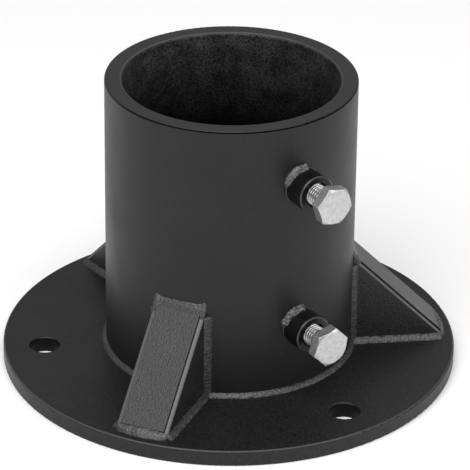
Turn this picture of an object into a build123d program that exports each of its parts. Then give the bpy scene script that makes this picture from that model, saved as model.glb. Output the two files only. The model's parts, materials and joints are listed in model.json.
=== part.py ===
from build123d import *
import os
from math import cos, radians, sin, tan

# Flag pole stand: a round base plate that is bolted down, with a socket tube
# welded upright on it, three box gussets, and two set bolts that clamp the pole.
#
# Frame: millimetres, +Z up along the tube, origin in the middle of the plate's
# underside. The set bolts point to the front, -Y. A bearing is an angle in
# degrees about +Z, counted from the front towards +X.

# Base plate
plate_diameter = 210.0
plate_thickness = 7.5
plate_edge_radius = 0.8
anchor_hole_diameter = 14.0
anchor_circle_diameter = 172.0
anchor_edge_chamfer = 0.4

# The plate's holes and gussets share one pattern, and the tube is welded on a
# little out of line with it, so that the front hole isn't quite under the bolts
plate_turn = 3.0
anchor_bearings = [plate_turn + turn for turn in (0, 120, 240)]
gusset_bearings = {
    "right": plate_turn + 60,
    "rear": plate_turn + 180,
    "left": plate_turn + 300,
}

# Socket tube
overall_height = 140.0
tube_diameter = 114.3
tube_wall = 8.0
rim_outer_radius = 0.8
rim_inner_radius = 1.6

# Gussets: a sloped strap between two triangular cheeks, which it stands a little proud of
gusset_rise = 44.0
gusset_reach = 44.6
toe_cut_reach = 41.0
strap_width = 20.8
strap_thickness = 3.0
cheek_thickness = 2.0
strap_edge_chamfer = 0.4
cheek_recess = 0.9
cheek_edge_radius = 0.9

# Bosses and their set bolts
boss_heights = {"upper": 109.2, "lower": 39.0}
boss_diameter = 17.6
boss_length = 10.2
boss_edge_chamfer = 0.6
boss_bore_diameter = 10.1
boss_mouth_chamfer = 0.9
tube_hole_diameter = 11.0

thread_diameter = 9.9
bolt_length = 25.0
bolt_tip_chamfer = 1.2
head_gap = 8.8
head_flats = 16.2
head_height = 5.4
head_face_diameter = 15.6
head_chamfer_angle = 30.0
head_turns = {"upper": 48.0, "lower": 13.5}

# Weld beads, by the length of their legs
tube_weld_leg = 2.0
gusset_weld_leg = 3.0
top_weld_reach = 1.4
top_weld_rise = 2.7
toe_weld_leg = 3.4
boss_weld_leg = 3.0

# Worked out from the above
tube_radius = tube_diameter / 2
bore_radius = tube_radius - tube_wall
plate_top = plate_thickness
gusset_width = strap_width + 2 * cheek_thickness
gusset_top = plate_top + gusset_rise
gusset_slope = gusset_rise / gusset_reach
cheek_drop = cheek_recess * (1 + gusset_slope**2) ** 0.5
toe_radius = tube_radius + toe_cut_reach
boss_face = tube_radius + boss_length
head_back = boss_face + head_gap
head_front = head_back + head_height
bolt_tip = head_back - bolt_length

# What is welded to the tube is first drawn this far inside it, then scribed to it
overlap = 5.0
inner_radius = tube_radius - overlap


def radial_plane(bearing, sideways=0.0):
    """Upright plane along a bearing: x runs out from the tube's axis, y runs up.

    It stands sideways to the right, as seen from outside, and faces left.
    """
    angle = radians(bearing)
    return Plane(
        origin=(sideways * cos(angle), sideways * sin(angle), 0),
        x_dir=(sin(angle), -cos(angle), 0),
        z_dir=(-cos(angle), -sin(angle), 0),
    )


def cross_plane(bearing, radius):
    """Upright plane across a bearing: x runs right, as seen from outside, y runs up."""
    angle = radians(bearing)
    outwards = (sin(angle), -cos(angle), 0)
    return Plane(
        origin=(radius * sin(angle), -radius * cos(angle), 0),
        x_dir=(cos(angle), sin(angle), 0),
        z_dir=outwards,
    )


def level_plane(bearing, height):
    """Level plane: x runs out from the tube's axis along a bearing, y runs right."""
    angle = radians(bearing)
    return Plane(
        origin=(0, 0, height),
        x_dir=(sin(angle), -cos(angle), 0),
        z_dir=(0, 0, 1),
    )


def face_height(radius):
    """Height of the gussets' sloped face at a radius from the tube's axis."""
    return gusset_top - gusset_slope * (radius - tube_radius)


def tube_surface(sideways):
    """How far out the tube's outside is, at a distance to one side of its axis."""
    return (tube_radius**2 - sideways**2) ** 0.5


os.makedirs("parts", exist_ok=True)


def finish(piece, name):
    """Label a finished piece and write it to its own file."""
    piece.part.label = name
    export_step(piece.part, f"parts/{name}.step")


# Base plate, with rounded rims and three anchor holes
with BuildPart() as base_plate:
    with BuildSketch():
        Circle(plate_diameter / 2)
    extrude(amount=plate_thickness)
    fillet(base_plate.edges().filter_by(GeomType.CIRCLE), plate_edge_radius)
    for bearing in anchor_bearings:
        with BuildSketch(level_plane(bearing, plate_top)):
            with Locations((anchor_circle_diameter / 2, 0)):
                Circle(anchor_hole_diameter / 2)
        extrude(amount=-plate_thickness, mode=Mode.SUBTRACT)
    hole_rims = base_plate.edges().filter_by(GeomType.CIRCLE).filter_by(
        lambda edge: abs(edge.radius - anchor_hole_diameter / 2) < 0.01
    )
    chamfer(hole_rims, anchor_edge_chamfer)
finish(base_plate, "base_plate")

# Socket tube, with rounded rims and a clearance hole through the wall behind each boss
with BuildPart() as pole_tube:
    with BuildSketch(Plane.XY.offset(plate_top)):
        Circle(tube_radius)
        Circle(bore_radius, mode=Mode.SUBTRACT)
    extrude(amount=overall_height - plate_top)
    rims = pole_tube.faces().sort_by(Axis.Z)[-1].edges().sort_by(SortBy.LENGTH)
    fillet(rims[-1], rim_outer_radius)
    rims = pole_tube.faces().filter_by(Plane.XY).sort_by(Axis.Z)[-1].edges().sort_by(SortBy.LENGTH)
    fillet(rims[0], rim_inner_radius)
    for height in boss_heights.values():
        with BuildSketch(cross_plane(0, tube_radius)):
            with Locations((0, height)):
                Circle(tube_hole_diameter / 2)
        extrude(amount=-2 * tube_wall, mode=Mode.SUBTRACT)
finish(pole_tube, "pole_tube")

# The space inside the tube's outside, which scribes what is welded to it
with BuildPart() as tube_envelope:
    with BuildSketch():
        Circle(tube_radius)
    extrude(amount=overall_height)

# The space that the gussets fill, each from the outside of one cheek to the other
with BuildPart() as gusset_spaces:
    for bearing in gusset_bearings.values():
        with BuildSketch(radial_plane(bearing, gusset_width / 2)):
            with Locations((inner_radius, plate_top)):
                Rectangle(toe_radius - inner_radius, gusset_rise, align=(Align.MIN, Align.MIN))
        extrude(amount=gusset_width)

# The weld at the foot of the tube, first as a whole ring
with BuildPart() as tube_weld_ring:
    with BuildSketch(Plane.XZ):
        with BuildLine():
            Polyline(
                (tube_radius, plate_top),
                (tube_radius + tube_weld_leg, plate_top),
                (tube_radius, plate_top + tube_weld_leg),
                close=True,
            )
        make_face()
    revolve(axis=Axis.Z)

# Its three stretches, each in the third of the circle between two gussets
sector_reach = plate_diameter / 2
sector_side = sector_reach * tan(radians(60))
for place, turn in (("front", 0), ("rear_right", 120), ("rear_left", 240)):
    with BuildPart() as tube_weld:
        add(tube_weld_ring.part)
        add(gusset_spaces.part, mode=Mode.SUBTRACT)
        with BuildSketch(level_plane(plate_turn + turn, plate_top)):
            Polygon((0, 0), (sector_reach, -sector_side), (sector_reach, sector_side), align=None)
        extrude(amount=tube_weld_leg, mode=Mode.INTERSECT)
    finish(tube_weld, f"tube_weld_{place}")

# Gussets, each with its weld beads
for side, bearing in gusset_bearings.items():
    with BuildPart() as strap:
        with BuildSketch(radial_plane(bearing, strap_width / 2)):
            strap_drop = strap_thickness * (1 + gusset_slope**2) ** 0.5
            underside_foot = toe_radius - (plate_top - face_height(toe_radius) + strap_drop) / gusset_slope
            with BuildLine():
                Polyline(
                    (inner_radius, face_height(inner_radius)),
                    (toe_radius, face_height(toe_radius)),
                    (toe_radius, plate_top),
                    (underside_foot, plate_top),
                    (inner_radius, face_height(inner_radius) - strap_drop),
                    close=True,
                )
            make_face()
        extrude(amount=strap_width)
        sloped_face = strap.faces().sort_by(Axis.Z)[-1]
        chamfer(sloped_face.edges().sort_by(SortBy.LENGTH)[-2:], strap_edge_chamfer)
        add(tube_envelope.part, mode=Mode.SUBTRACT)
    finish(strap, f"gusset_{side}_strap")

    for hand, sideways in (("left", -strap_width / 2), ("right", gusset_width / 2)):
        with BuildPart() as cheek:
            with BuildSketch(radial_plane(bearing, sideways)):
                with BuildLine():
                    Polyline(
                        (inner_radius, plate_top),
                        (inner_radius, face_height(inner_radius) - cheek_drop),
                        (toe_radius, face_height(toe_radius) - cheek_drop),
                        (toe_radius, plate_top),
                        close=True,
                    )
                make_face()
            extrude(amount=cheek_thickness)
            # The outer edge of its slope is rounded
            rightwards = Axis((0, 0, 0), (cos(radians(bearing)), sin(radians(bearing)), 0))
            sloped_face = cheek.faces().sort_by(Axis.Z)[-1]
            long_edges = sloped_face.edges().sort_by(SortBy.LENGTH)[-2:].sort_by(rightwards)
            fillet(long_edges[0] if hand == "left" else long_edges[-1], cheek_edge_radius)
            add(tube_envelope.part, mode=Mode.SUBTRACT)
        finish(cheek, f"gusset_{side}_{hand}_cheek")

    # Bead over the top end of the sloped face and up the tube
    with BuildPart() as top_weld:
        with BuildSketch(radial_plane(bearing, gusset_width / 2)):
            bead_radius = tube_radius + top_weld_reach
            bead_top = gusset_top + top_weld_rise
            with BuildLine():
                Polyline(
                    (bead_radius, face_height(bead_radius)),
                    (tube_radius, bead_top),
                    (tube_radius - top_weld_rise / gusset_slope, bead_top),
                    close=True,
                )
            make_face()
        extrude(amount=gusset_width)
        add(tube_envelope.part, mode=Mode.SUBTRACT)
    finish(top_weld, f"gusset_{side}_top_weld")

    # Bead across the toe, down on the plate
    with BuildPart() as toe_weld:
        with BuildSketch(radial_plane(bearing, gusset_width / 2)):
            with BuildLine():
                Polyline(
                    (toe_radius, plate_top),
                    (toe_radius + toe_weld_leg, plate_top),
                    (toe_radius, face_height(toe_radius)),
                    close=True,
                )
            make_face()
        extrude(amount=gusset_width)
    finish(toe_weld, f"gusset_{side}_toe_weld")

    # Beads along the foot of each cheek and up its edge on the tube
    for hand, outwards in (("left", -1), ("right", 1)):
        cheek_side = outwards * gusset_width / 2
        bead_side = outwards * (gusset_width / 2 + gusset_weld_leg)

        with BuildPart() as foot_weld:
            with BuildSketch(cross_plane(bearing, inner_radius)):
                with BuildLine():
                    Polyline(
                        (cheek_side, plate_top),
                        (bead_side, plate_top),
                        (cheek_side, plate_top + gusset_weld_leg),
                        close=True,
                    )
                make_face()
            extrude(amount=toe_radius - inner_radius)
            add(tube_envelope.part, mode=Mode.SUBTRACT)
            add(tube_weld_ring.part, mode=Mode.SUBTRACT)
        finish(foot_weld, f"gusset_{side}_{hand}_foot_weld")

        with BuildPart() as upright_weld:
            with BuildSketch(level_plane(bearing, plate_top)):
                with BuildLine():
                    Polyline(
                        (inner_radius, cheek_side),
                        (tube_surface(cheek_side) + gusset_weld_leg, cheek_side),
                        (tube_surface(bead_side), bead_side),
                        (inner_radius, bead_side),
                        close=True,
                    )
                make_face()
            extrude(amount=gusset_rise - gusset_weld_leg)
            add(tube_envelope.part, mode=Mode.SUBTRACT)
            add(tube_weld_ring.part, mode=Mode.SUBTRACT)
            add(foot_weld.part, mode=Mode.SUBTRACT)
        finish(upright_weld, f"gusset_{side}_{hand}_upright_weld")

# Bosses, their welds and their set bolts
for place, height in boss_heights.items():
    bolt_axis = Axis((0, 0, height), (0, -1, 0))

    with BuildPart() as boss:
        with BuildSketch(cross_plane(0, inner_radius)):
            with Locations((0, height)):
                Circle(boss_diameter / 2)
        extrude(amount=boss_face - inner_radius)
        chamfer(boss.faces().sort_by(Axis.Y)[0].edges(), boss_edge_chamfer)
        with BuildSketch(cross_plane(0, inner_radius)):
            with Locations((0, height)):
                Circle(boss_bore_diameter / 2)
        extrude(amount=boss_face - inner_radius, mode=Mode.SUBTRACT)
        mouth = boss.faces().sort_by(Axis.Y)[0].edges().sort_by(SortBy.LENGTH)[0]
        chamfer(mouth, boss_mouth_chamfer)
        add(tube_envelope.part, mode=Mode.SUBTRACT)
    finish(boss, f"{place}_boss")

    with BuildPart() as boss_weld:
        with BuildSketch(Plane.YZ):
            boss_top = height + boss_diameter / 2
            with BuildLine():
                Polyline(
                    (-tube_radius - boss_weld_leg, boss_top),
                    (-inner_radius, boss_top),
                    (-inner_radius, boss_top + boss_weld_leg + overlap),
                    close=True,
                )
            make_face()
        revolve(axis=bolt_axis)
        add(tube_envelope.part, mode=Mode.SUBTRACT)
    finish(boss_weld, f"{place}_boss_weld")

    with BuildPart() as set_bolt:
        with BuildSketch(cross_plane(0, bolt_tip)):
            with Locations((0, height)):
                Circle(thread_diameter / 2)
        extrude(amount=bolt_length)
        chamfer(set_bolt.faces().sort_by(Axis.Y)[-1].edges(), bolt_tip_chamfer)
        with BuildSketch(cross_plane(0, head_back)):
            with Locations((0, height)):
                RegularPolygon(head_flats / 2, 6, major_radius=False, rotation=head_turns[place])
        extrude(amount=head_height)
        # A cone takes off the head's front corners
        with BuildSketch(Plane.YZ):
            chamfer_drop = (head_flats - head_face_diameter / 2) * tan(radians(head_chamfer_angle))
            with BuildLine():
                Polyline(
                    (-bolt_tip, height),
                    (-bolt_tip, height + head_flats),
                    (chamfer_drop - head_front, height + head_flats),
                    (-head_front, height + head_face_diameter / 2),
                    (-head_front, height),
                    close=True,
                )
            make_face()
        revolve(axis=bolt_axis, mode=Mode.INTERSECT)
    finish(set_bolt, f"{place}_set_bolt")
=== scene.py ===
import json
from math import asin, atan2, cos, degrees, exp, hypot, pi, radians, sin, sqrt, tan, tau

import bmesh
import bpy
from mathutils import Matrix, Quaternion, Vector, noise


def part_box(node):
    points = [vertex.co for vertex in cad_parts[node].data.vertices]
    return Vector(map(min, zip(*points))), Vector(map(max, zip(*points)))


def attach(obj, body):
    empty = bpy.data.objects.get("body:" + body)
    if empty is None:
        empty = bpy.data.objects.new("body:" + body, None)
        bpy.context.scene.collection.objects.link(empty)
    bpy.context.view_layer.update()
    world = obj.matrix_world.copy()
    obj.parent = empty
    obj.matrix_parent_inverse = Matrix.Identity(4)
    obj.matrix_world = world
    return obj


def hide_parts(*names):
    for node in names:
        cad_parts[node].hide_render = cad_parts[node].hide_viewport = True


# The looks of the flag pole stand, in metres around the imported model. The plate, tube,
# gussets and bosses keep their CAD meshes under a powder coat. The weld beads and the
# set bolts are made here: rippled beads, and bolts with a cut thread and a forged head.

MM = 0.001
UP = Vector((0, 0, 1))

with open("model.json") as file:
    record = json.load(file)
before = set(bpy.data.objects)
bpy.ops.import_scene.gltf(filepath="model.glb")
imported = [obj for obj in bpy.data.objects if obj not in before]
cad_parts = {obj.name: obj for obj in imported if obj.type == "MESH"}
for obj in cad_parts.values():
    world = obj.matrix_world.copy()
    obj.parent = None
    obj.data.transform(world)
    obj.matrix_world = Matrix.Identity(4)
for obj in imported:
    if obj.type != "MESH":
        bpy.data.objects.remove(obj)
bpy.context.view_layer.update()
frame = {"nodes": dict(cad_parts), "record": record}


# ---------------------------------------------------------------- measures from the frame

def directions(bearing):
    """Outward and, as seen from outside, rightward at a bearing about +Z from -Y."""
    return Vector((sin(bearing), -cos(bearing), 0)), Vector((cos(bearing), sin(bearing), 0))


def extent(node, direction):
    """How far a CAD node reaches along a direction: the least and the greatest distance."""
    reaches = [direction.dot(vertex.co) for vertex in frame["nodes"][node].data.vertices]
    return min(reaches), max(reaches)


plate_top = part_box("base_plate")[1].z
plate_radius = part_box("base_plate")[1].x
tube_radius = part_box("pole_tube")[1].x
tube_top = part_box("pole_tube")[1].z
bore_radius = next(m["dims"]["r_mm"] for m in frame["record"]["mounts"] if m["name"] == "pole_socket") * MM
tube_weld_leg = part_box("tube_weld_front")[1].z - plate_top


def tube_surface(sideways):
    """How far out the tube's outside is, at a distance to one side of its axis."""
    return sqrt(tube_radius**2 - sideways**2)


def gusset_bearings():
    """The gussets stand half way between the plate's holes, which share their pattern."""
    openings = {row["name"]: row["box_m"] for row in frame["record"]["physics"]["openings"]}
    low, high = openings["anchor_hole_front"]
    hole_bearing = atan2(low[0] + high[0], -low[1] - high[1])
    return {
        "right": hole_bearing + radians(60),
        "rear": hole_bearing + radians(180),
        "left": hole_bearing + radians(300),
    }


# ---------------------------------------------------------------- materials

COAT_TONE = 0.009
COAT_ROUGHNESS = 0.44
INNER_TONE = 0.065
# Painted highlight on the gusset cheeks' up-facing edges
EDGE_HIGHLIGHT_TONE = 0.09
# Painted highlight along the plate's top edge
PLATE_EDGE_HIGHLIGHT_TONE = 0.05
# Painted highlight on the tube's rim
RIM_HIGHLIGHT_TONE = 0.016
# Painted highlight on the rim's inner edge
INNER_EDGE_HIGHLIGHT_TONE = 0.06
# Painted highlight on the edge of a boss's end
BOSS_EDGE_HIGHLIGHT_TONE = 0.045
# Painted shade: the shadow line under the rim and in the gusset seams
SHADOW_LINE_TONE = 0.004
# Painted shade on the anchor holes' walls
HOLE_SHADE_TONE = 0.01
# Painted shade in the thread's roots
THREAD_ROOT_SHADE_TONE = 0.04
INNER_ROUGHNESS = 0.75
# How much of the painted shade the anchor holes' walls take
HOLE_SHADE_SHARE = 0.75
# How much of the painted shade the gusset seams take
SEAM_SHADE_SHARE = 0.4


def new_material(name):
    """An empty material and its Principled shader."""
    material = bpy.data.materials.new(name)
    material.use_nodes = True
    return material, material.node_tree.nodes["Principled BSDF"]


def add_noise(tree, size, detail, coordinates):
    """Noise whose features are about a size across."""
    node = tree.nodes.new("ShaderNodeTexNoise")
    node.inputs["Scale"].default_value = 1 / size
    node.inputs["Detail"].default_value = detail
    tree.links.new(coordinates.outputs["Object"], node.inputs["Vector"])
    return node


def add_range(tree, source, low, high, start=0.3, end=0.7):
    """Spread a value that runs from start to end over the range from low to high."""
    node = tree.nodes.new("ShaderNodeMapRange")
    node.inputs["From Min"].default_value = start
    node.inputs["From Max"].default_value = end
    node.inputs["To Min"].default_value = low
    node.inputs["To Max"].default_value = high
    tree.links.new(source, node.inputs["Value"])
    return node.outputs["Result"]


def add_grey(tree, value):
    """A grey colour whose brightness is a value."""
    node = tree.nodes.new("ShaderNodeCombineColor")
    for channel in ("Red", "Green", "Blue"):
        tree.links.new(value, node.inputs[channel])
    return node.outputs["Color"]


def add_bump(tree, height, depth, strength, after=None):
    """Bump whose height runs over a depth."""
    node = tree.nodes.new("ShaderNodeBump")
    node.inputs["Distance"].default_value = depth
    node.inputs["Strength"].default_value = strength
    tree.links.new(height, node.inputs["Height"])
    if after is not None:
        tree.links.new(after, node.inputs["Normal"])
    return node.outputs["Normal"]


def add_mix(tree, share, first, second):
    """A value that goes from first to second as a share goes from 0 to 1."""
    node = tree.nodes.new("ShaderNodeMix")
    tree.links.new(share, node.inputs["Factor"])
    for value, socket in ((first, node.inputs["A"]), (second, node.inputs["B"])):
        if isinstance(value, float):
            socket.default_value = value
        else:
            tree.links.new(value, socket)
    return node.outputs["Result"]


def add_math(tree, operation, first, second):
    """One operation on two values."""
    node = tree.nodes.new("ShaderNodeMath")
    node.operation = operation
    for value, socket in ((first, node.inputs[0]), (second, node.inputs[1])):
        if isinstance(value, float):
            socket.default_value = value
        else:
            tree.links.new(value, socket)
    return node.outputs["Value"]


def add_distance(tree, coordinates, centre, square):
    """Distance from a line through a centre. square is 1 on the two axes that are square to the line."""
    centred = tree.nodes.new("ShaderNodeVectorMath")
    centred.operation = "SUBTRACT"
    centred.inputs[1].default_value = centre
    tree.links.new(coordinates.outputs["Object"], centred.inputs[0])
    flattened = tree.nodes.new("ShaderNodeVectorMath")
    flattened.operation = "MULTIPLY"
    flattened.inputs[1].default_value = square
    tree.links.new(centred.outputs["Vector"], flattened.inputs[0])
    distance = tree.nodes.new("ShaderNodeVectorMath")
    distance.operation = "LENGTH"
    tree.links.new(flattened.outputs["Vector"], distance.inputs[0])
    return distance.outputs["Value"]


def add_place(tree, coordinates, axis):
    """How far along X, Y or Z a point is."""
    split = tree.nodes.new("ShaderNodeSeparateXYZ")
    tree.links.new(coordinates.outputs["Object"], split.inputs["Vector"])
    return split.outputs[axis]


def add_band(tree, value, low, high, soft=0.15 * MM):
    """1 where a value lies between low and high, 0 elsewhere, with soft edges."""
    above = add_range(tree, value, 0.0, 1.0, low - soft, low + soft)
    below = add_range(tree, value, 1.0, 0.0, high - soft, high + soft)
    return add_math(tree, "MULTIPLY", above, below)


def add_sideways(tree, coordinates, direction):
    """Distance from the middle plane that a direction is square to."""
    dot = tree.nodes.new("ShaderNodeVectorMath")
    dot.operation = "DOT_PRODUCT"
    dot.inputs[1].default_value = direction
    tree.links.new(coordinates.outputs["Object"], dot.inputs[0])
    return add_math(tree, "ABSOLUTE", dot.outputs["Value"], 0.0)


def add_upward(tree, low, high):
    """0 to 1 as a face turns up from one value of its normal's Z to another."""
    facing = tree.nodes.new("ShaderNodeNewGeometry")
    split = tree.nodes.new("ShaderNodeSeparateXYZ")
    tree.links.new(facing.outputs["Normal"], split.inputs["Vector"])
    return add_range(tree, split.outputs["Z"], 0.0, 1.0, low, high)


def base_shade(shader):
    """The value that a coat's grey base colour comes from."""
    return shader.inputs["Base Color"].links[0].from_node.inputs["Red"].links[0].from_socket


def powder_coat(name, tone, roughness, grain, grain_depth, tone_spread=0.25, sheen=0.32):
    """Black powder coat: a fine pebbled skin that varies a little in tone and gloss."""
    material, shader = new_material(name)
    shader.inputs["Specular IOR Level"].default_value = sheen
    tree = material.node_tree
    coordinates = tree.nodes.new("ShaderNodeTexCoord")
    cloud = add_noise(tree, 22 * MM, 3, coordinates)
    pebbles = add_noise(tree, grain, 3, coordinates)
    ripple = add_noise(tree, 5 * MM, 2, coordinates)
    low, high = tone * (1 - tone_spread), tone * (1 + tone_spread)
    shade = add_range(tree, pebbles.outputs["Fac"], low, high)
    tree.links.new(add_grey(tree, shade), shader.inputs["Base Color"])
    gloss = add_range(tree, cloud.outputs["Fac"], roughness - 0.04, roughness + 0.04)
    tree.links.new(gloss, shader.inputs["Roughness"])
    broad = add_bump(tree, ripple.outputs["Fac"], 0.06 * MM, 0.5)
    tree.links.new(add_bump(tree, pebbles.outputs["Fac"], grain_depth, 1.0, broad), shader.inputs["Normal"])
    return material


def plate_paint(name):
    """Powder coat of the plate, with a painted highlight along its top edge and painted shade in the anchor
    holes.
    """
    material = powder_coat(name, COAT_TONE, COAT_ROUGHNESS, 0.9 * MM, 0.10 * MM, 0.6)
    tree = material.node_tree
    shader = tree.nodes["Principled BSDF"]
    coordinates = tree.nodes.new("ShaderNodeTexCoord")
    reach = add_distance(tree, coordinates, (0, 0, 0), (1, 1, 0))
    height = add_place(tree, coordinates, "Z")
    # Painted highlight: a paler band along the plate's rounded top edge
    at_edge = add_range(tree, reach, 0.0, 1.0, plate_radius - 1.0 * MM, plate_radius - 0.6 * MM)
    high_up = add_range(tree, height, 0.0, 1.0, plate_top - 0.6 * MM, plate_top - 0.3 * MM)
    shade = add_mix(tree, add_math(tree, "MULTIPLY", at_edge, high_up), base_shade(shader), PLATE_EDGE_HIGHLIGHT_TONE)
    # Painted shade on the anchor holes' walls: a dark metallic that also damps their reflection
    within = add_range(tree, reach, 1.0, 0.0, plate_radius - 3 * MM, plate_radius - 2 * MM)
    upright = add_math(tree, "SUBTRACT", 1.0, add_upward(tree, 0.2, 0.4))
    hole_shade = add_math(tree, "MULTIPLY", add_math(tree, "MULTIPLY", within, upright), HOLE_SHADE_SHARE)
    tree.links.new(add_grey(tree, add_mix(tree, hole_shade, shade, HOLE_SHADE_TONE)), shader.inputs["Base Color"])
    tree.links.new(hole_shade, shader.inputs["Metallic"])
    return material


def tube_paint(name):
    """Powder coat of the tube: smooth outside, coarse and mottled inside with painted shade down the bore, a
    painted highlight on the rim and a painted shadow line under its outer edge.
    """
    material = powder_coat(name, COAT_TONE, COAT_ROUGHNESS, 1.0 * MM, 0.04 * MM)
    tree = material.node_tree
    shader = tree.nodes["Principled BSDF"]
    coordinates = tree.nodes.new("ShaderNodeTexCoord")
    reach = add_distance(tree, coordinates, (0, 0, 0), (1, 1, 0))
    height = add_place(tree, coordinates, "Z")

    # Inside the bore: mottled, with painted shade that darkens with depth
    inside = add_range(tree, reach, 1.0, 0.0, bore_radius + 0.1 * MM, bore_radius + 0.5 * MM)
    mottle = add_noise(tree, 9 * MM, 3, coordinates)
    specks = add_noise(tree, 0.9 * MM, 2, coordinates)
    depth_shade = add_range(tree, height, 0.02, 1.0, tube_top - 50 * MM, tube_top - 5 * MM)
    patchy = add_range(tree, mottle.outputs["Fac"], 0.6, 1.4)
    speckled = add_range(tree, specks.outputs["Fac"], 0.45, 1.55, 0.35, 0.65)
    inner_shade = add_math(tree, "MULTIPLY", add_math(tree, "MULTIPLY", depth_shade, patchy), INNER_TONE)
    inner_shade = add_math(tree, "MULTIPLY", inner_shade, speckled)
    shade = add_mix(tree, inside, base_shade(shader), inner_shade)
    outer_gloss = shader.inputs["Roughness"].links[0].from_socket
    gloss = add_mix(tree, inside, outer_gloss, INNER_ROUGHNESS)
    rough_inside = add_math(tree, "MULTIPLY", inside, specks.outputs["Fac"])
    outer_normal = shader.inputs["Normal"].links[0].from_socket
    tree.links.new(add_bump(tree, rough_inside, 0.3 * MM, 1.0, outer_normal), shader.inputs["Normal"])

    # Painted highlight on the rim, brightest on its inner edge, and a painted shadow line under its outer
    # edge
    on_rim = add_range(tree, height, 0.0, 1.0, tube_top - 0.3 * MM, tube_top - 0.1 * MM)
    shade = add_mix(tree, on_rim, shade, RIM_HIGHLIGHT_TONE)
    # Painted highlight on the rim's inner edge
    inner_edge_highlight = add_band(tree, reach, bore_radius + 0.5 * MM, bore_radius + 1.0 * MM)
    shade = add_mix(tree, inner_edge_highlight, shade, INNER_EDGE_HIGHLIGHT_TONE)
    # Painted shadow line under the rim's outer edge
    under_edge = add_band(tree, height, tube_top - 1.05 * MM, tube_top - 0.4 * MM, 0.1 * MM)
    outside = add_range(tree, reach, 0.0, 1.0, tube_radius - 1.5 * MM, tube_radius - 1.2 * MM)
    line = add_math(tree, "MULTIPLY", under_edge, outside)
    shade = add_mix(tree, line, shade, SHADOW_LINE_TONE)
    tree.links.new(add_grey(tree, shade), shader.inputs["Base Color"])
    tree.links.new(gloss, shader.inputs["Roughness"])
    # Dark metallic on the painted shadow line and inside the bore, so that they reflect little: painted shade
    tree.links.new(add_math(tree, "MAXIMUM", line, inside), shader.inputs["Metallic"])
    return material


def gusset_paint(side, bearing):
    """Powder coat of a gusset: painted shade in the seams beside the strap, and a painted highlight on the
    up-facing rounded edges of the cheeks.
    """
    material = powder_coat(f"gusset_{side}_coat", 1.3 * COAT_TONE, 0.38, 0.8 * MM, 0.24 * MM, 0.7, 0.5)
    tree = material.node_tree
    shader = tree.nodes["Principled BSDF"]
    coordinates = tree.nodes.new("ShaderNodeTexCoord")
    _, rightward = directions(bearing)
    sideways = add_sideways(tree, coordinates, rightward)
    half_strap = extent(f"gusset_{side}_strap", rightward)[1]
    upward = add_upward(tree, 0.05, 0.35)
    # Painted shade in the seams, on the strap's side walls and in the cheeks' corners beside it
    seam_shade = add_band(tree, sideways, half_strap - 0.1 * MM, half_strap + 0.3 * MM, 0.08 * MM)
    # Painted highlight on the up-facing rounded edges of the cheeks
    edge = add_range(tree, sideways, 0.0, 1.0, half_strap + 0.3 * MM, half_strap + 0.5 * MM)
    edge = add_math(tree, "MULTIPLY", edge, upward)
    shade = add_mix(tree, edge, base_shade(shader), EDGE_HIGHLIGHT_TONE)
    seam_shade = add_math(tree, "MULTIPLY", seam_shade, SEAM_SHADE_SHARE)
    shade = add_mix(tree, seam_shade, shade, SHADOW_LINE_TONE)
    tree.links.new(add_grey(tree, shade), shader.inputs["Base Color"])
    tree.links.new(seam_shade, shader.inputs["Metallic"])
    fall = add_range(tree, sideways, 1.0, 0.0, half_strap + 0.2 * MM, half_strap + 2.2 * MM)
    pebbled = shader.inputs["Normal"].links[0].from_socket
    tree.links.new(add_bump(tree, fall, 0.5 * MM, 1.0, pebbled), shader.inputs["Normal"])
    return material


def boss_paint(place):
    """Powder coat of a boss: smooth and very dark, with a painted highlight on the edge of its end."""
    material = powder_coat(f"{place}_boss_coat", 0.5 * COAT_TONE, 0.26, 1.2 * MM, 0.03 * MM)
    tree = material.node_tree
    shader = tree.nodes["Principled BSDF"]
    coordinates = tree.nodes.new("ShaderNodeTexCoord")
    low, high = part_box(f"{place}_boss")
    reach = add_distance(tree, coordinates, (0, 0, (low.z + high.z) / 2), (1, 0, 1))
    along = add_place(tree, coordinates, "Y")
    at_end = add_range(tree, along, 1.0, 0.0, low.y + 0.5 * MM, low.y + 0.7 * MM)
    radius = (high.x - low.x) / 2
    at_edge = add_range(tree, reach, 0.0, 1.0, radius - 0.7 * MM, radius - 0.5 * MM)
    # Painted highlight on the edge of the boss's end
    edge = add_math(tree, "MULTIPLY", at_end, at_edge)
    shade = add_mix(tree, edge, base_shade(shader), BOSS_EDGE_HIGHLIGHT_TONE)
    tree.links.new(add_grey(tree, shade), shader.inputs["Base Color"])
    return material


def zinc_plate(name, height, head_back):
    """Satin zinc plate with soft mottling and small dull spots, and painted shade in the thread's roots."""
    material, shader = new_material(name)
    tree = material.node_tree
    coordinates = tree.nodes.new("ShaderNodeTexCoord")
    mottle = add_noise(tree, 2.2 * MM, 4, coordinates)
    spots = add_noise(tree, 0.7 * MM, 3, coordinates)
    shader.inputs["Metallic"].default_value = 0.88
    reach = add_distance(tree, coordinates, (0, 0, height), (1, 0, 1))
    along = add_place(tree, coordinates, "Y")
    on_shank = add_range(tree, along, 0.0, 1.0, 0.1 * MM - head_back, 0.3 * MM - head_back)
    # Painted shade in the thread's roots
    in_root_shade = add_range(tree, reach, 1.0, 0.0, 4.1 * MM, 4.8 * MM)
    shade = add_range(tree, mottle.outputs["Fac"], 0.44, 0.58)
    shade = add_mix(tree, add_math(tree, "MULTIPLY", on_shank, in_root_shade), shade, THREAD_ROOT_SHADE_TONE)
    tree.links.new(add_grey(tree, shade), shader.inputs["Base Color"])
    tree.links.new(add_range(tree, spots.outputs["Fac"], 0.26, 0.42), shader.inputs["Roughness"])
    dents = add_bump(tree, mottle.outputs["Fac"], 0.03 * MM, 0.6)
    tree.links.new(add_bump(tree, spots.outputs["Fac"], 0.012 * MM, 0.8, dents), shader.inputs["Normal"])
    return material


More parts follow.
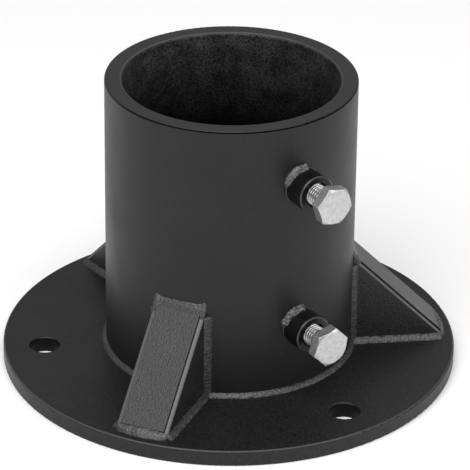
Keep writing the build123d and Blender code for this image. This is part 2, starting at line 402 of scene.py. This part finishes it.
def floor_paint(name):
    """Matt white studio floor."""
    material, shader = new_material(name)
    shader.inputs["Base Color"].default_value = (0.94, 0.94, 0.94, 1)
    shader.inputs["Roughness"].default_value = 0.9
    shader.inputs["Specular IOR Level"].default_value = 0.1
    return material


# ---------------------------------------------------------------- weld beads

SECTION_STEPS = 10
STATION_STEP = 0.3 * MM
RIPPLE_PITCH = 1.9 * MM
SINK = 0.12 * MM
END_TAPER = 1.2 * MM
BEAD_FULLNESS = 1.5
LEAN_LEG = 0.85

# Where a boss's bead is full, in degrees counted up from the right
BOSS_BEAD_MIDDLE = 122
BOSS_BEAD_REACH = 50
BOSS_BEAD_FADE = 14


def bead_scale(along, across, seed, rough):
    """How much a bead's surface swells: crescent ripples, soft lumps and fine grain."""
    crescent = 0.55 * sin(pi * across)
    drift = 0.5 * noise.noise(Vector((along / (6 * MM), seed, 0)))
    ripple = abs(sin(pi * (along / RIPPLE_PITCH + crescent + drift)))
    lumps = noise.noise(Vector((along / (3.2 * MM), 2 * across, seed)))
    grain = noise.noise(Vector((along / (0.8 * MM), 5 * across, seed + 7)))
    return 1 + rough * (0.05 * (ripple - 0.6) + 0.16 * lumps + 0.10 * grain)


def end_scale(along, length, lump):
    """A bead rounds off over its last stretch at either end, and may swell just before."""
    left = min(along, length - along) / END_TAPER
    swollen = 1 + lump * exp(-((left - 1) ** 2))
    if left >= 1:
        return swollen
    return swollen * (0.35 + 0.65 * sqrt(1 - (1 - left) ** 2))


def make_bead(name, node, spine, length, seed, closed=False, rough=1.0, lump=0.0, coat=None):
    """Weld bead that stands for a CAD weld.

    spine(share) gives the corner that it fills and the two legs that it spreads over.
    lump is how much it swells just inside its two ends.
    """
    count = round(length / STATION_STEP)
    mesh = bmesh.new()
    rings = []
    for i in range(count if closed else count + 1):
        share = i / count
        along = share * length
        corner, leg_a, leg_b = spine(share)
        off_a = leg_a.normalized() * SINK
        off_b = leg_b.normalized() * SINK
        ring = [mesh.verts.new(corner - off_a - off_b)]
        for step in range(SECTION_STEPS + 1):
            across = step / SECTION_STEPS
            near_a = cos(across * pi / 2) ** BEAD_FULLNESS if step < SECTION_STEPS else 0.0
            near_b = sin(across * pi / 2) ** BEAD_FULLNESS
            swell = bead_scale(along, across, seed, rough)
            if not closed:
                swell *= end_scale(along, length, lump)
            point = corner + (leg_a * near_a + leg_b * near_b) * swell
            ring.append(mesh.verts.new(point - off_b * near_a**4 - off_a * near_b**4))
        rings.append(ring)
    pairs = list(zip(rings, rings[1:]))
    if closed:
        pairs.append((rings[-1], rings[0]))
    for ring, following in pairs:
        for i in range(len(ring)):
            j = (i + 1) % len(ring)
            mesh.faces.new((ring[i], ring[j], following[j], following[i]))
    if not closed:
        mesh.faces.new(rings[0])
        mesh.faces.new(rings[-1])
    piece = mesh_piece(name, mesh, coat or weld_coat_painted_light)
    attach(piece, "stand")
    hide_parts(node)


def mesh_piece(name, mesh, material):
    """Turn a finished bmesh into a smooth-shaded object."""
    bmesh.ops.recalc_face_normals(mesh, faces=mesh.faces)
    data = bpy.data.meshes.new(name)
    mesh.to_mesh(data)
    mesh.free()
    data.polygons.foreach_set("use_smooth", [True] * len(data.polygons))
    data.materials.append(material)
    piece = bpy.data.objects.new(name, data)
    bpy.context.scene.collection.objects.link(piece)
    return piece


def tube_foot_bead(place, start, end, seed):
    """Bead round the tube's foot, from one bearing to another."""
    leg = tube_weld_leg

    def spine(share):
        outward, _ = directions(start + (end - start) * share)
        return outward * tube_radius + UP * plate_top, outward * leg, UP * leg

    make_bead(f"tube_bead_{place}", f"tube_weld_{place}", spine, (end - start) * tube_radius, seed, rough=0.8)


def gusset_measures(side, bearing):
    """The sizes of one gusset and its welds, measured on its own directions."""
    outward, rightward = directions(bearing)
    name = f"gusset_{side}"
    size = {
        "outward": outward,
        "rightward": rightward,
        "half_width": extent(f"{name}_right_cheek", rightward)[1],
        "toe_radius": extent(f"{name}_strap", outward)[1],
        "toe_height": extent(f"{name}_toe_weld", UP)[1],
        "toe_leg": extent(f"{name}_toe_weld", outward)[1] - extent(f"{name}_toe_weld", outward)[0],
        "foot_leg": extent(f"{name}_left_foot_weld", UP)[1] - plate_top,
        "upright_top": extent(f"{name}_left_upright_weld", UP)[1],
        "weld_reach": extent(f"{name}_top_weld", outward)[1],
        "weld_low": extent(f"{name}_top_weld", UP)[0],
        "weld_high": extent(f"{name}_top_weld", UP)[1],
    }
    size["slope"] = (size["weld_low"] - size["toe_height"]) / (size["toe_radius"] - size["weld_reach"])
    off_face = outward * size["slope"] + UP
    size["cheek_drop"] = extent(f"{name}_strap", off_face)[1] - extent(f"{name}_right_cheek", off_face)[1]
    size["half_strap"] = extent(f"{name}_strap", rightward)[1]
    return size


def top_bead(side, size, seed):
    """Bead over the top end of the sloped face, lumpy where it was started and stopped."""
    half = size["half_width"] + 0.4 * MM

    def spine(share):
        sideways = (2 * share - 1) * half
        wall = tube_surface(sideways)
        inset = size["weld_reach"] - wall
        height = size["weld_low"] + size["slope"] * inset
        off_strap = (abs(sideways) - size["half_strap"]) / (size["half_width"] - size["half_strap"])
        height -= size["cheek_drop"] * min(1.0, max(0.0, off_strap))
        corner = size["outward"] * wall + size["rightward"] * sideways + UP * height
        down_face = size["outward"] - UP * size["slope"]
        return corner, down_face * inset, UP * (size["weld_high"] - height)

    name, node = f"gusset_{side}_top_bead", f"gusset_{side}_top_weld"
    make_bead(name, node, spine, 2 * half, seed, rough=1.2, lump=0.35)


def toe_bead(side, size, seed):
    """Bead across the toe, which stands out most in its middle."""
    half = size["half_width"] + 0.2 * MM

    def spine(share):
        bow = sin(pi * share) ** 0.6
        corner = (
            size["outward"] * size["toe_radius"]
            + size["rightward"] * (2 * share - 1) * half
            + UP * plate_top
        )
        rise = size["toe_height"] - plate_top
        return corner, size["outward"] * size["toe_leg"] * (0.35 + 0.65 * bow), UP * rise * (0.7 + 0.25 * bow)

    make_bead(f"gusset_{side}_toe_bead", f"gusset_{side}_toe_weld", spine, 2 * half, seed, rough=0.6)


def foot_bead(side, hand, sign, size, seed):
    """Bead along the foot of a cheek."""
    start = tube_surface(size["half_width"])
    length = size["toe_radius"] + 0.6 * MM - start
    side_leg = size["rightward"] * sign * size["foot_leg"] * LEAN_LEG
    side_place = size["rightward"] * sign * size["half_width"]

    def spine(share):
        corner = size["outward"] * (start + length * share) + side_place + UP * plate_top
        return corner, side_leg, UP * size["foot_leg"] * LEAN_LEG

    node = f"gusset_{side}_{hand}_foot_weld"
    make_bead(f"gusset_{side}_{hand}_foot_bead", node, spine, length, seed, rough=0.6)


def upright_bead(side, hand, sign, size, seed):
    """Bead up the edge of a cheek, on the tube."""
    leg = size["foot_leg"] * LEAN_LEG
    wall = tube_surface(size["half_width"])
    outward_leg = size["outward"] * (tube_surface(size["half_width"] + leg) - wall)
    along_wall = outward_leg + size["rightward"] * sign * leg
    length = size["upright_top"] - plate_top

    def spine(share):
        height = plate_top + length * share
        corner = size["outward"] * wall + size["rightward"] * sign * size["half_width"] + UP * height
        return corner, size["outward"] * leg, along_wall

    node = f"gusset_{side}_{hand}_upright_weld"
    make_bead(f"gusset_{side}_{hand}_upright_bead", node, spine, length, seed, rough=0.6)


def gusset_beads(side, bearing, seed):
    """The six beads of one gusset."""
    size = gusset_measures(side, bearing)
    top_bead(side, size, seed)
    toe_bead(side, size, seed + 1)
    for hand, sign in (("left", -1), ("right", 1)):
        foot_bead(side, hand, sign, size, seed + 3 + sign)
        upright_bead(side, hand, sign, size, seed + 6 + sign)


def boss_bead(place, seed):
    """Bead round a boss, over the curve of the tube, full at its upper left and lean elsewhere."""
    low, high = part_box(f"{place}_boss")
    radius = (high.x - low.x) / 2
    height = (low.z + high.z) / 2
    full_leg = -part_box(f"{place}_boss_weld")[0].y - tube_radius

    def on_tube(turn, distance):
        sideways = distance * cos(turn)
        return Vector((sideways, -tube_surface(sideways), height + distance * sin(turn)))

    def spine(share):
        turn = share * tau
        off_middle = abs(degrees(turn) - BOSS_BEAD_MIDDLE)
        there = min(1.0, max(0.0, (BOSS_BEAD_REACH - off_middle) / BOSS_BEAD_FADE))
        leg = full_leg * (0.06 + (0.5 + 0.26 * sin(turn)) * there)
        corner = on_tube(turn, radius)
        return corner, Vector((0, -leg, 0)), on_tube(turn, radius + leg) - corner

    length = tau * (radius + full_leg / 2)
    name, node = f"{place}_boss_bead", f"{place}_boss_weld"
    make_bead(name, node, spine, length, seed, closed=True, rough=1.8, coat=boss_weld_coat_painted_light)


# ---------------------------------------------------------------- set bolts

THREAD_PITCH = 1.5 * MM
THREAD_DEPTH = 0.9 * MM
RING_STEP = THREAD_PITCH / 12
TIP_CHAMFER = 1.2 * MM
RUN_OUT = 1.6 * MM
FACE_SHARE = 0.963
CHAMFER_SLOPE = tan(radians(30))
EDGE_ROUND = 0.14 * MM


def bolt_measures(node):
    """Sizes of a set bolt in its own CAD mesh, as distances out from the tube's axis."""
    low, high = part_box(node)
    height = (low.z + high.z) / 2
    points = [vertex.co for vertex in frame["nodes"][node].data.vertices]
    corner = max(points, key=lambda p: (round(hypot(p.x, p.z - height), 5), p.y))
    shank = max(hypot(p.x, p.z - height) for p in points if p.y > corner.y + RUN_OUT)
    return {
        "height": height,
        "front": -low.y,
        "back": -corner.y,
        "tip": -high.y,
        "corner": hypot(corner.x, corner.z - height),
        "turn": atan2(corner.z - height, corner.x),
        "shank": shank,
    }


def hex_turns(first):
    """Angles round a hexagon: close together at its corners, and even along its flats."""
    corner_round = radians(1.2)
    turns = []
    for side in range(6):
        start = first + side * pi / 3
        turns += [start, start + corner_round]
        turns += [start + radians(step) for step in range(6, 60, 6)]
        turns.append(start + pi / 3 - corner_round)
    return turns


def thread_radius(size, out, turn):
    """Radius of the right-hand thread at a distance out and an angle, with its two ends."""
    phase = (out / THREAD_PITCH - turn / tau) % 1
    flank = min(1.0, max(0.0, (abs(2 * phase - 1) - 0.12) / 0.72))
    from_head = size["back"] - out
    depth = THREAD_DEPTH * min(1.0, max(0.0, from_head / RUN_OUT - 0.25))
    radius = size["shank"] - depth * (1 - flank)
    return min(radius, size["shank"] - TIP_CHAMFER + (out - size["tip"]))


def bolt_rings(size):
    """Rings of a bolt from its tip to its face, each a function from an angle to (out, radius)."""
    flat = size["corner"] * cos(pi / 6)
    face = flat * FACE_SHARE

    def hexagon(turn):
        within = (turn - size["turn"]) % (pi / 3)
        radius = flat / cos(within - pi / 6)
        return min(radius, size["corner"] - EDGE_ROUND / 2)

    def chamfer(turn):
        return size["front"] - (hexagon(turn) - face) * CHAMFER_SLOPE

    rings = []
    count = round((size["back"] - size["tip"]) / RING_STEP)
    for i in range(count + 1):
        out = size["tip"] + (size["back"] - size["tip"]) * i / count
        rings.append(lambda turn, out=out: (out, thread_radius(size, out, turn)))
    rings.append(lambda turn: (size["back"], hexagon(turn) - EDGE_ROUND))
    rings.append(lambda turn: (size["back"] + EDGE_ROUND, hexagon(turn)))
    for share in (0.3, 0.6, 0.9):
        rings.append(
            lambda turn, share=share: (
                size["back"] + EDGE_ROUND + (chamfer(turn) - EDGE_ROUND - size["back"]) * share,
                hexagon(turn),
            )
        )
    rings.append(lambda turn: (chamfer(turn) - EDGE_ROUND / 2, hexagon(turn)))
    rings.append(
        lambda turn: (chamfer(turn) + EDGE_ROUND / 2 * CHAMFER_SLOPE, hexagon(turn) - EDGE_ROUND / 2)
    )
    rings.append(lambda turn: (size["front"] - EDGE_ROUND / 2, face + EDGE_ROUND / 2 / CHAMFER_SLOPE))
    for share in (0.99, 0.9, 0.7, 0.45, 0.2):
        rings.append(lambda turn, share=share: (size["front"] - face_dip(turn, face * share), face * share))
    return rings


def face_dip(turn, radius):
    """The forged face isn't quite flat."""
    return 0.04 * MM * (1 + noise.noise(Vector((radius * cos(turn), radius * sin(turn), 0)) / (4 * MM)))


def set_bolt(place):
    """Set bolt: threaded to the head, with a chamfered tip and a chamfered hexagon head."""
    node = f"{place}_set_bolt"
    size = bolt_measures(node)
    turns = hex_turns(size["turn"])
    mesh = bmesh.new()

    def vertex(out, radius, turn):
        return mesh.verts.new((radius * cos(turn), -out, size["height"] + radius * sin(turn)))

    rings = []
    for ring in bolt_rings(size):
        rings.append([vertex(*ring(turn), turn) for turn in turns])
    for ring, following in zip(rings, rings[1:]):
        for i in range(len(turns)):
            j = (i + 1) % len(turns)
            mesh.faces.new((ring[i], ring[j], following[j], following[i]))
    for ring, out in ((rings[0], size["tip"]), (rings[-1], size["front"] - face_dip(0, 0))):
        centre = vertex(out, 0, 0)
        for i in range(len(turns)):
            mesh.faces.new((ring[i], ring[(i + 1) % len(turns)], centre))
    piece = mesh_piece(f"{place}_bolt", mesh, zinc_plate(f"{place}_bolt_zinc", size["height"], size["back"]))
    piece.data.set_sharp_from_angle(angle=radians(40))
    weigh = piece.modifiers.new("face_normals", "WEIGHTED_NORMAL")
    weigh.keep_sharp = True
    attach(piece, f"{place}_bolt")
    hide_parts(node)


# ---------------------------------------------------------------- the stand

plate_coat = plate_paint("plate_coat")
tube_coat = tube_paint("tube_coat")
boss_coats = {place: boss_paint(place) for place in ("upper", "lower")}
# The beads' coats are lighter copies of the powder coat: painted light for the light that the rough beads
# catch
boss_weld_coat_painted_light = powder_coat("boss_weld_coat_painted_light", 6 * COAT_TONE, 0.3, 0.8 * MM, 0.3 * MM, 0.9, 0.6)
weld_coat_painted_light = powder_coat("weld_coat_painted_light", 3.6 * COAT_TONE, 0.34, 0.8 * MM, 0.3 * MM, 0.7, 0.6)
gusset_coats = {side: gusset_paint(side, bearing) for side, bearing in gusset_bearings().items()}


def coat_for(name):
    """The powder coat of a CAD node."""
    if name.startswith("gusset"):
        return gusset_coats[name.split("_")[1]]
    if name.endswith("boss"):
        return boss_coats[name.split("_")[0]]
    return tube_coat if name == "pole_tube" else plate_coat


def coat_stand():
    """The CAD pieces that stay get the powder coat."""
    for name, node in frame["nodes"].items():
        node.data.materials.clear()
        node.data.materials.append(coat_for(name))


coat_stand()

bearings = gusset_bearings()
half_gusset = asin(gusset_measures("right", bearings["right"])["half_width"] / tube_radius)
tube_foot_bead("front", bearings["left"] - tau + half_gusset, bearings["right"] - half_gusset, 1)
tube_foot_bead("rear_right", bearings["right"] + half_gusset, bearings["rear"] - half_gusset, 2)
tube_foot_bead("rear_left", bearings["rear"] + half_gusset, bearings["left"] - half_gusset, 3)
for number, (side, bearing) in enumerate(bearings.items()):
    gusset_beads(side, bearing, 20 * (number + 1))
for number, place in enumerate(("upper", "lower")):
    boss_bead(place, 100 + 20 * number)
    set_bolt(place)


# ---------------------------------------------------------------- floor, light and camera

FLOOR_RADIUS = 1.6
AMBIENT = 0.3
BACKDROP = 0.95


def make_floor():
    """Round white floor."""
    mesh = bmesh.new()
    bmesh.ops.create_circle(mesh, cap_ends=True, segments=96, radius=FLOOR_RADIUS)
    floor = mesh_piece("floor", mesh, floor_paint("floor_white"))


def softbox(name, spot, width, height, radiance, aim=Vector((0, 0, 0.05))):
    """Rectangular soft light with an even brightness."""
    light = bpy.data.lights.new(name, "AREA")
    light.shape = "RECTANGLE"
    light.size = width
    light.size_y = height
    light.energy = radiance * pi * width * height
    lamp = bpy.data.objects.new(name, light)
    lamp.location = spot
    lamp.rotation_mode = "QUATERNION"
    lamp.rotation_quaternion = (aim - Vector(spot)).to_track_quat("-Z", "Y")
    bpy.context.scene.collection.objects.link(lamp)


def make_world():
    """Dim, even light from all round, behind a pale backdrop."""
    world = bpy.data.worlds.new("studio")
    world.use_nodes = True
    tree = world.node_tree
    background = tree.nodes["Background"]
    path = tree.nodes.new("ShaderNodeLightPath")
    strength = add_range(tree, path.outputs["Is Camera Ray"], AMBIENT, BACKDROP, 0, 1)
    tree.links.new(strength, background.inputs["Strength"])
    background.inputs["Color"].default_value = (1, 1, 1, 1)
    bpy.context.scene.world = world


def make_camera():
    """Camera to the front left, well above the stand, with a long lens."""
    azimuth, elevation, distance = radians(-34.3), radians(29.41), 1.5372
    back = Vector((sin(azimuth) * cos(elevation), -cos(azimuth) * cos(elevation), sin(elevation)))
    aim = Vector((1.96, -1.34, 60.2)) * MM
    lens = bpy.data.cameras.new("camera")
    lens.lens = 251.4
    lens.sensor_width = 36
    camera = bpy.data.objects.new("camera", lens)
    camera.location = back * distance
    camera.rotation_mode = "QUATERNION"
    roll = Quaternion((0, 0, 1), radians(0.658))
    camera.rotation_quaternion = (aim - camera.location).to_track_quat("-Z", "Y") @ roll
    bpy.context.scene.collection.objects.link(camera)
    bpy.context.scene.camera = camera


make_floor()
softbox("key", (-0.7, -0.55, 1.4), 1.8, 1.8, 3.3)
softbox("fill", (1.14, -1.48, 0.75), 1.4, 1.0, 2.6)
softbox("side", (-1.7, -0.3, 0.6), 0.8, 0.6, 0.8)
softbox("back", (0.9, 0.9, 1.9), 1.4, 1.4, 0.9)
make_world()
make_camera()
bpy.context.scene.view_settings.view_transform = "Standard"
